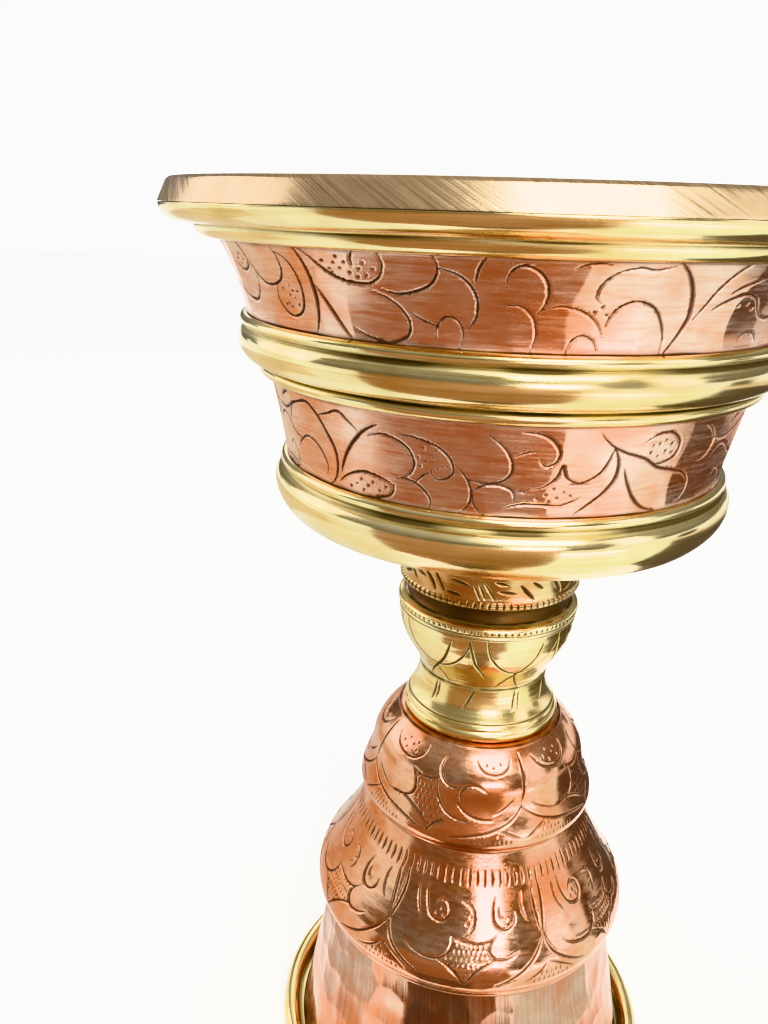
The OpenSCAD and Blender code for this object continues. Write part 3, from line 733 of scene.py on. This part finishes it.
# The scrolls of the lower wall.
lower_wall = FlatSurface("lower_band", radius=44.85, columns=1290, rows=70, start=-75)
lower_scrolls = [
    (wide, [(10.5, 13.3), (13, 14.5), (15, 15)]),
    (plain, [(5, 12), (8, 11.3), (11, 11.2), (14, 12), (17, 13.5), (20, 13.9)]),
    (wide, [
        (14, 9), (14.8, 11), (16.5, 13), (19, 13.9), (22, 14.4), (24.5, 13), (27, 10.3), (28.8, 7),
        (28.8, 3.6), (27.5, 1), (26, 0),
    ]),
    (plain, [(6, 8), (8.6, 9.8), (11, 9.8), (13.5, 8.8), (15.6, 7.4), (18.5, 6.8)]),
    (plain, [(16, 4.8), (17.5, 6.3), (20, 7.6), (22.6, 7.3), (25, 5.6), (26, 3.6), (25.5, 1.8)]),
    (thin, [(10, 3), (11.5, 4.8), (13.5, 4.3), (15, 2.5), (14.5, 0.9), (12, 0.2)]),
    (plain, [(25.5, 12.8), (28, 13.6), (31, 14.5), (33, 13.2), (35, 11.8)]),
    (wide, [(29.8, 3.2), (31.5, 6.8), (34, 10), (36.5, 12.3), (39, 13.6)]),
    (plain, [(29, 1.3), (32, 3.4), (35, 4.4), (38, 4.1), (41.3, 3)]),
    (plain, [(41.3, 3.3), (40.5, 1.2), (38, 0.3), (33, 0.2)]),
    (plain, [(37, 11.3), (39.5, 12), (42, 11.5), (44.5, 9.8), (45.2, 7.6), (44.6, 6), (43, 4.9)]),
    (plain, [
        (42.5, 12.5), (46, 12.3), (49.5, 11.2), (51.5, 9), (51.8, 7), (50.5, 5.7), (48.7, 5.7),
        (48.2, 7.2),
    ]),
    (thin, [(48, 6.7), (46.3, 5.5), (45.3, 4.3)]),
    (plain, [(42, 4.6), (45, 4.4), (47, 3.1), (48, 1.4), (47.6, 0)]),
    (plain, [(52.5, 8), (54, 6.3), (54.8, 4), (54.6, 2), (53, 0.2)]),
    (plain, [(57, 14.2), (59, 12.8), (60.7, 10.5), (61.1, 8), (60, 6.4), (57.5, 5.8), (54, 6.3)]),
    (thin, [(61.2, 10.6), (63, 11.4), (65, 11.8)]),
    (plain, [
        (62, 14.8), (65, 14.6), (67.3, 13.2), (68.2, 11.3), (67.6, 9.7), (66, 9.3), (65.2, 10.6),
    ]),
    (plain, [(55.2, 4), (56.5, 5.2), (59.5, 5.5), (61.6, 4.3), (61.8, 2.8)]),
    (thin, [(55.2, 3.5), (55.4, 1.6), (57, 0.2)]),
    (thin, [(62, 4.5), (64, 4.6)]),
    (plain, [(64.3, 5), (67, 6), (68.5, 7.7), (69, 9.3), (69.8, 7.3), (72, 6.1), (74.5, 6)]),
    (plain, [(60, 1.3), (62.5, 2.2), (66, 2.4), (70, 2.3), (73, 3.7)]),
    (wide, [
        (74.3, 14.8), (76, 13), (79, 11.3), (83, 10), (86, 8.2), (90, 7.2), (93, 6.2), (94.8, 4),
        (94.5, 2), (92.5, 1),
    ]),
    (wide, [(77, 12.2), (78.2, 9.8), (78.3, 7), (77, 4.5), (74.5, 2.2), (72, 0.5)]),
    (plain, [(77, 12), (76.5, 9.8), (75.5, 7.8), (73.5, 6.4), (70, 6)]),
    (wide, [(79.6, 8.5), (81, 5.2), (83, 2.5), (85.5, 0.7), (88, 0.3)]),
    (plain, [
        (82, 12.8), (84.5, 14.2), (87.5, 14.1), (89.6, 12), (89.2, 10), (87, 8.9), (83.5, 9.5),
    ]),
    (plain, [(95, 14.8), (97.5, 13.5), (98.9, 11.5), (98, 9), (95.5, 8)]),
]
lower_dots = [
    (32, 1.2), (33.5, 2), (35, 1.1), (36, 2), (37, 2.8), (38.3, 1.5), (34.6, 3), (39.6, 2.4),
    (46, 9), (47.3, 8.5), (48.5, 9.3), (49, 10.5), (46.3, 7.5), (49.3, 7.3), (50.8, 8), (47, 10.8),
    (65.4, 3.4), (66.8, 4.2), (68, 5.2), (68.6, 3.6), (69.8, 4.6), (71, 3.9), (67.4, 3), (83.8, 11),
    (85.2, 12.4), (86.8, 11), (85.4, 10.2), (87.8, 12.2), (86.4, 13), (84, 12.2), (88.2, 10.6),
]
lower_wall.repeat(3, lower_scrolls, lower_dots, depth=0.24, jitter=0.0, seed=12)
lower_wall.finish_piece(
    "bowl", wall_copper, wave=(0.04, 9, 28), seed=22, flats=26, flat_share=0.6
)

# ---------------------------------------------------------------- underside, boss and wick holder
# A dished copper plate closes the bowl from below. A threaded brass boss is soldered under
# it, and a small brass tube stands in the middle of the bowl floor to hold the wick.
plate_copper = polished_metal(
    "spun_copper_plate", copper_pale, copper_warm, copper_dirt_and_shade,
    grain=(60, 60, 900), shine=(0.18, 0.34), slant=0, tarnish=0.8, relief=0.02,
)
turned_piece(
    "underside_plate", "bowl", plate_copper,
    columns=360, step=0.6, wave=(0.04, 14, 11), seed=6,
)
turned_piece(
    "bowl_boss", "bowl", bright_brass,
    columns=240, step=0.4, wave=(0.0, 10, 5), seed=7,
)
turned_piece(
    "wick_socket", "bowl", bright_brass,
    columns=180, step=0.25, wave=(0.01, 6, 5), seed=8,
)

# ---------------------------------------------------------------- collar, seat ring, cup and skirt
# The brass neck: an engraved collar under the bowl, a grooved seat ring that the bowl unscrews
# from, made near black as painted shade for its deep groove, a cup cut with long petals, and a
# flared skirt with a few cuts below its waist.
neck_brass = polished_metal(
    "engraved_neck_brass", brass_pale, brass_warm, brass_dirt_and_shade,
    grain=(60, 60, 1800), shine=(0.09, 0.22), slant=0, tarnish=0.5, relief=0.015,
)
# Painted shade: the seat ring's brass is made near black for the dark of its deep groove between
# collar and cup.
shaded_seat_brass = polished_metal(
    "seat_brass_painted_shade", (0.14, 0.075, 0.03), (0.07, 0.035, 0.015), (0.03, 0.018, 0.01),
    grain=(60, 60, 1800), shine=(0.25, 0.4), slant=0, tarnish=0.8, relief=0.02,
)
# The collar, under the bowl, is given a darker and browner brass than the cup and skirt.
collar_brass = polished_metal(
    "darker_collar_brass", (0.80, 0.63, 0.33), (0.46, 0.22, 0.08), brass_dirt_and_shade,
    grain=(60, 60, 1500), shine=(0.10, 0.24), slant=0, tarnish=0.9, relief=0.02,
)
turned_piece(
    "seat_ring", "seat", shaded_seat_brass,
    columns=300, step=0.25, wave=(0.01, 8, 7), seed=9,
)

collar = FlatSurface("neck_collar", radius=19, columns=720, rows=60, start=-80)
collar_cuts = [
    (0.95, [(0.6, 6.4), (2.4, 4.6), (3.4, 3)]), (0.8, [(3.4, 5.6), (6, 6.2)]),
    (0.9, [(4.6, 3.2), (7.6, 4.2)]), (0.95, [(7.8, 6.4), (8.6, 4.6), (9.8, 3)]),
    (0.9, [(10, 5.4), (12.8, 4.6)]), (0.95, [(13, 6.4), (14.4, 4.4), (15.4, 2.6)]),
    (0.95, [(15.6, 6.8), (16.4, 4.8), (17.6, 3)]), (0.8, [(18, 3.2), (21.2, 2.8)]),
    (0.9, [(19.2, 6), (22.8, 5.2)]), (0.6, [(23.8, 5.6), (25.2, 2.4)]),
    (0.6, [(24.8, 6), (26.2, 2.6)]), (0.6, [(25.9, 6.2), (28, 2.6)]),
    (0.8, [(28.6, 4.6), (32.4, 4)]), (0.8, [(28, 6.6), (30.6, 6)]),
    (0.95, [(33, 6), (34.8, 4), (36.4, 2.4)]), (0.8, [(35.6, 6.4), (38.2, 4.6)]),
]
collar.repeat(3, collar_cuts, (), depth=0.30, jitter=0.1, seed=13)
collar.line_round(1.25, width=0.32, depth=0.12)
collar.ticks_round(84, [(0, 0.45), (0.12, 2.0)], width=0.55, depth=0.24)
collar.finish_piece("bowl", collar_brass, wave=(0.02, 8, 12), seed=23)

cup = FlatSurface("knop_cup", radius=18, columns=700, rows=110, start=-80)
petal_cuts = [
    (0.65, [
        (7.1, 15), (7.7, 12), (9.1, 9), (11.4, 6.7), (14.4, 5.6), (17.4, 6.7), (20.2, 9), (22, 12),
        (22.7, 15),
    ]),
    (0.7, [(3.8, 15), (4.2, 11.2), (5.1, 8), (6, 6.2), (7.3, 3.4)]),
    (0.75, [(18.7, 13.6), (18.1, 11.5), (16.5, 8), (14, 5), (11.6, 2.4), (10, 0.5)]),
    (0.55, [(14, 5.2), (15.2, 2), (16.6, 0.2)]),
]
cup.repeat(6, petal_cuts, (), depth=0.22, jitter=0.12, seed=14)
cup.line_round(15.9, width=0.4, depth=0.12)
cup.line_round(15.2, width=0.35, depth=0.09)
cup.ticks_round(90, [(0, 16.4), (0.1, 17.3)], width=0.5, depth=0.24)
cup.finish_piece("stem", neck_brass, wave=(0.03, 9, 10), seed=24)

skirt = FlatSurface("neck_skirt", radius=15.5, columns=600, rows=80, start=-80)
skirt_cuts = [
    (0.75, [(0.6, 12), (-0.2, 10.2), (-1.6, 7.8)]), (0.6, [(10.6, 12), (10.2, 10), (9.8, 7.4)]),
    (0.5, [(11.6, 11.8), (11.4, 9.8), (11, 7.8)]),
]
skirt.repeat(5, skirt_cuts, (), depth=0.2, jitter=0.2, seed=15)
skirt.line_round(4.9, width=0.5, depth=0.16)
skirt.finish_piece("stem", neck_brass, wave=(0.03, 7, 9), seed=25)

# ---------------------------------------------------------------- the two bulbs
# Two bell-shaped knops of sheet copper, raised over a stake and stacked on the tie rod.
# Each is cut into petals that hang from its top, with curls inside them and a hatched hem.
bulb_copper = polished_metal(
    "engraved_copper_bulb", (0.72, 0.425, 0.27), (0.56, 0.185, 0.065), copper_dirt_and_shade,
    grain=(260, 260, 1500), shine=(0.06, 0.18), slant=9.0, tarnish=0.8, relief=0.03,
)


def inside(place, border):
    """Whether a place lies within a border, by counting the border's sides to its right."""
    hit = False
    for (ax, ay), (bx, by) in zip(border, border[1:] + border[:1]):
        if (ay > place[1]) != (by > place[1]):
            if place[0] < ax + (place[1] - ay) * (bx - ax) / (by - ay):
                hit = not hit
    return hit


def hatching(border, across, up, length, width=0.35):
    """Short upright ticks in staggered rows that fill a border."""
    xs, ys = zip(*border)
    strokes = []
    rows = int((max(ys) - min(ys)) / up) + 1
    for row in range(rows):
        y = min(ys) + row * up
        shift = (row % 2) * across / 2
        for k in range(int((max(xs) - min(xs)) / across) + 2):
            x = min(xs) + k * across + shift
            if inside((x, y), border) and inside((x, y + length), border):
                strokes.append((width, [(x, y), (x + 0.08, y + length)]))
    return strokes


upper_bulb = FlatSurface("upper_bulb", radius=24, columns=850, rows=100, start=-80)
upper_star = [
    (19.5, 17.5), (22.5, 16.6), (25.8, 17.5), (26.2, 13.5), (28, 10.8), (30.4, 9.6), (27.2, 8),
    (25, 5.4), (24, 8), (21.4, 10), (20.8, 13.6),
]
upper_petal = [
    (0.75, [(7, 23.6), (7.2, 19.5), (7, 16), (6.2, 13)]),
    (0.65, [(6, 12.6), (10, 9.6), (14, 8), (19, 7), (24.4, 5.4)]),
    (0.6, [(19.5, 17.5), (20.8, 14.2), (20.4, 12), (18, 10.7), (14.5, 10.3)]),
    (0.6, [(10.6, 22.6), (12.2, 20.4), (15.4, 19), (18.8, 19.3), (20.8, 21.2), (21.2, 23)]),
    (0.55, [(19.5, 17.5), (22.5, 16.6), (25.8, 17.5)]),
    (0.55, [(25.8, 17.5), (26.2, 13.5), (28, 10.8), (30.4, 9.6), (33.6, 9.6)]),
    (0.5, [(14.5, 10.3), (18.6, 10.6), (22, 9.4), (24.2, 7.6), (25, 5.4)]),
    (0.5, [(25, 5.4), (26.2, 7.4), (28.4, 9)]),
    (0.6, [(27, 22.6), (25.9, 20.2), (26.6, 17.6), (29, 16.1), (31.4, 16.8)]),
    (0.55, [(30.4, 13), (32, 11.2), (34.6, 10), (38, 10)]),
    (0.55, [(31.4, 13.2), (31, 15), (32.1, 16.6), (34.4, 17), (36.6, 15.6)]),
    (0.6, [(34, 22.4), (35.2, 20.4), (38, 19.4), (41, 20.2), (42.4, 22.6)]),
    (0.65, [(44.2, 12.8), (42, 10), (38, 7.6), (33, 6.2), (28.6, 5.3)]),
    (0.5, [(8.6, 13), (11.4, 11.4), (14.5, 10.3)]),
    (0.5, [(42.6, 14.4), (40.4, 12.4), (37.8, 11)]),
    (0.5, [(6.6, 5.4), (9, 7), (11.2, 8.6)]),
    (0.5, [(43.6, 5.6), (41, 7), (38.8, 7.6)]),
]
upper_petal += hatching(upper_star, across=1.0, up=1.5, length=0.9, width=0.42)
left_gap = [(7.5, 4.8), (22, 4.8), (16, 6.4), (11.6, 8.4)]
right_gap = [(29, 4.8), (43.6, 4.8), (39, 7), (33, 5.8)]
for gap in (left_gap, right_gap):
    upper_petal += hatching(gap, across=0.95, up=1.2, length=0.9)
upper_bulb_dots = [
    (13.6, 21.4), (15.2, 20.4), (16.8, 21.6), (18.2, 20.6), (15, 22.6), (18, 22.4), (36.4, 21.4),
    (38, 20.8), (39.8, 21.6),
]
upper_bulb.repeat(4, upper_petal, upper_bulb_dots, depth=0.26, jitter=0.06, seed=16)
upper_bulb.finish_piece("stem", bulb_copper, wave=(0.09, 10, 12), seed=26)

lower_bulb = FlatSurface("lower_bulb", radius=31, columns=860, rows=108, start=1.3)
lower_star = [
    (-5.2, 9.8), (-3.2, 11.6), (-2.8, 14.4), (0, 13.9), (3, 13.6), (5.6, 14.6), (4.7, 12.4),
    (6, 10.6), (2.6, 8.6), (0, 5.2), (-2.4, 8.4),
]
lower_petal = [
    (0.85, [(-15.4, 26), (-15, 22), (-15.5, 17.4), (-16.3, 14)]),
    (0.7, [(-17.3, 24.4), (-17, 19.6), (-16.5, 15)]),
    (0.75, [(-16.1, 13.6), (-14.8, 10.4), (-12, 7.8), (-7.8, 5.8)]),
    (0.75, [(15.9, 13.6), (13.8, 10.6), (10.2, 7.4), (5.6, 5.3)]),
    (0.7, [(-2.8, 14.4), (-3, 11.8), (-5.2, 9.9), (-8.8, 10), (-12.2, 11.8)]),
    (0.7, [(5.6, 14.6), (4.7, 12.4), (6.2, 10.6), (8.6, 10.8), (10.6, 12)]),
    (0.6, [(-2.8, 14.4), (0, 13.8), (3, 13.6), (5.6, 14.6), (6.4, 15.6)]),
    (0.65, [(-5.2, 9.8), (-2.4, 8.4), (-0.1, 5.2)]),
    (0.65, [(6, 10.6), (2.6, 8.6), (0.1, 5.2)]),
    (0.65, [
        (-9.4, 24.1), (-9, 20.4), (-7.4, 17.6), (-5.2, 17.2), (-3.8, 18.8), (-4.2, 20.9),
        (-6, 21.4), (-7, 20),
    ]),
    (0.55, [(-11.4, 23.4), (-11, 19.6), (-9.4, 16.6)]),
    (0.55, [(-1.1, 21.5), (1.3, 20.4), (1.7, 17.8), (0.6, 15.6)]),
    (0.7, [(6.4, 22.8), (5.7, 20), (6.2, 17.4), (8, 16.2), (9.9, 17.2), (10.4, 19.6)]),
    (0.5, [(7.2, 21), (7.4, 18.8), (8.8, 18.4)]),
    (0.5, [(12.6, 23.6), (12.2, 20.4), (13.4, 17.2)]),
    (0.6, [(-21.4, 5.4), (-18.6, 6.6), (-16.4, 8.9)]),
    (0.6, [(-16.2, 8.9), (-13.6, 7.2), (-10.8, 5.4)]),
]
lower_petal += hatching(lower_star, across=0.95, up=1.25, length=0.75, width=0.4)
lower_gap = [(-21.4, 4.7), (-11, 4.7), (-13.8, 7), (-16.3, 8.6), (-18.6, 6.6)]
lower_petal += hatching(lower_gap, across=1.0, up=1.3, length=0.95, width=0.42)
lower_bulb_dots = [(-5.6, 19.6), (-6.6, 18.6), (-5, 18.4), (1, 18.8), (0.2, 17.2)]
lower_bulb.repeat(6, lower_petal, lower_bulb_dots, depth=0.26, jitter=0.06, seed=17)
lower_bulb.ticks_round(102, [(0, 28.2), (0.15, 26.4), (0, 24.9)], width=0.6, depth=0.24)
lower_bulb.finish_piece("stem", bulb_copper, wave=(0.10, 12, 12), seed=27)

# ---------------------------------------------------------------- foot
# The spreading foot is copper sheet hammered to a bell and brushed up and down. A brass
# ring is pressed round its hem, and a dished copper plate closes it underneath.
foot_copper = polished_metal(
    "hammered_copper_foot", (0.45, 0.305, 0.225), (0.42, 0.14, 0.055), copper_dirt_and_shade,
    grain=(1100, 1100, 45), shine=(0.10, 0.28), slant=2.0, tarnish=0.95, relief=0.05,
)


def hammer_marks(turn, level, radius, size, depth, seed):
    """Shallow round dents in staggered rows, each shifted a little as a hammer falls."""
    draw = np.random.default_rng(seed)
    total = np.zeros(np.broadcast(turn, level).shape)
    rows = int(level.max() / size) + 2
    for row in range(rows):
        count = int(2 * math.pi * radius / size)
        for k in range(count):
            a = 2 * math.pi * (k + 0.5 * (row % 2) + draw.uniform(-0.25, 0.25)) / count
            v = row * size + draw.uniform(-0.3, 0.3) * size
            reach = size * draw.uniform(0.5, 0.75)
            u_away = ((turn - a + math.pi) % (2 * math.pi) - math.pi) * radius
            dent = 1 - (u_away**2 + (level - v) ** 2) / reach**2
            total = np.maximum(total, depth * draw.uniform(0.6, 1) * np.clip(dent, 0, 1))
    return total


foot = FlatSurface("foot_shell", radius=37, columns=560, rows=110, start=-80)
foot_turn = foot.u / foot.radius
foot.depth = hammer_marks(foot_turn, foot.v, foot.radius, size=7.5, depth=0.30, seed=31)
foot.finish_piece(
    "stem", foot_copper, wave=(0.06, 20, 9), seed=28, flats=22, flat_share=0.7
)
turned_piece(
    "foot_ring", "stem", bright_brass,
    columns=460, step=0.35, wave=(0.05, 12, 12), seed=29,
)
turned_piece(
    "base_plate", "stem", plate_copper,
    columns=300, step=0.6, wave=(0.04, 14, 9), seed=30,
)

# ---------------------------------------------------------------- tie rod and nuts
# A steel rod runs up the middle and clamps the stack between a nut in the cup and a
# washer and nut under the plate. Its top end is the thread that the bowl screws onto.
rod_steel = polished_metal(
    "turned_steel", (0.62, 0.61, 0.60), (0.45, 0.44, 0.43), (0.08, 0.06, 0.05),
    grain=(40, 40, 2500), shine=(0.18, 0.32), slant=0, tarnish=0.5, relief=0.01,
)
for name in ("cup_nut", "base_washer", "base_nut"):
    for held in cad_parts[name].material_slots:
        held.material = rod_steel

rod_low, rod_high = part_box("tie_rod")
rod_radius, rod_foot, rod_top = rod_high.x / MM, rod_low.z / MM, rod_high.z / MM
pitch, thread_depth, steps_a_turn = 1.5, 0.75, 10
plain_from, plain_to, plain_step = 26, 100, 2.0
foot_steps = int((plain_from - rod_foot) / pitch * steps_a_turn)
plain_steps = int((plain_to - plain_from) / plain_step)
top_steps = int((rod_top - plain_to) / pitch * steps_a_turn) + 1
levels = [rod_foot + i * pitch / steps_a_turn for i in range(foot_steps)]
levels += [plain_from + i * plain_step for i in range(plain_steps)]
levels += [plain_to + i * pitch / steps_a_turn for i in range(top_steps)]
levels = np.array(levels + [rod_top])
rod_columns = 96
rod_turns = 2 * math.pi * np.arange(rod_columns) / rod_columns - math.pi
phase = (levels[:, None] / pitch - rod_turns[None, :] / (2 * math.pi)) % 1
ridge = np.clip(1.25 * (1 - np.abs(2 * phase - 1)) - 0.1, 0, 1)
cut_here = ((levels < plain_from - 1) | (levels > plain_to + 1))[:, None]
end_bevel = np.clip(1 - np.minimum(levels - rod_foot, rod_top - levels), 0, 1)[:, None]
rod_r = rod_radius - np.maximum(thread_depth * ridge * cut_here, 0.8 * end_bevel)
rod_z = levels[:, None] + 0 * rod_turns
rod_rings = np.stack([rod_r * np.sin(rod_turns), -rod_r * np.cos(rod_turns), rod_z], -1) * MM
# Darker in the roots of the thread.
rod_thread_darkening = 0.7 * ridge * cut_here
tip_r = 0.02
centre = np.array([tip_r * np.sin(rod_turns), -tip_r * np.cos(rod_turns), 0 * rod_turns]).T * MM
foot_centre, top_centre = centre + (0, 0, rod_foot * MM), centre + (0, 0, rod_top * MM)
rod_rings = np.concatenate([[foot_centre], rod_rings, [top_centre]])
rod_thread_darkening = np.vstack([0 * rod_turns, rod_thread_darkening, 0 * rod_turns])
rod = ring_mesh("tie_rod_threaded", rod_rings, rod_thread_darkening)
fit_piece(rod, "tie_rod", "stem", rod_steel)
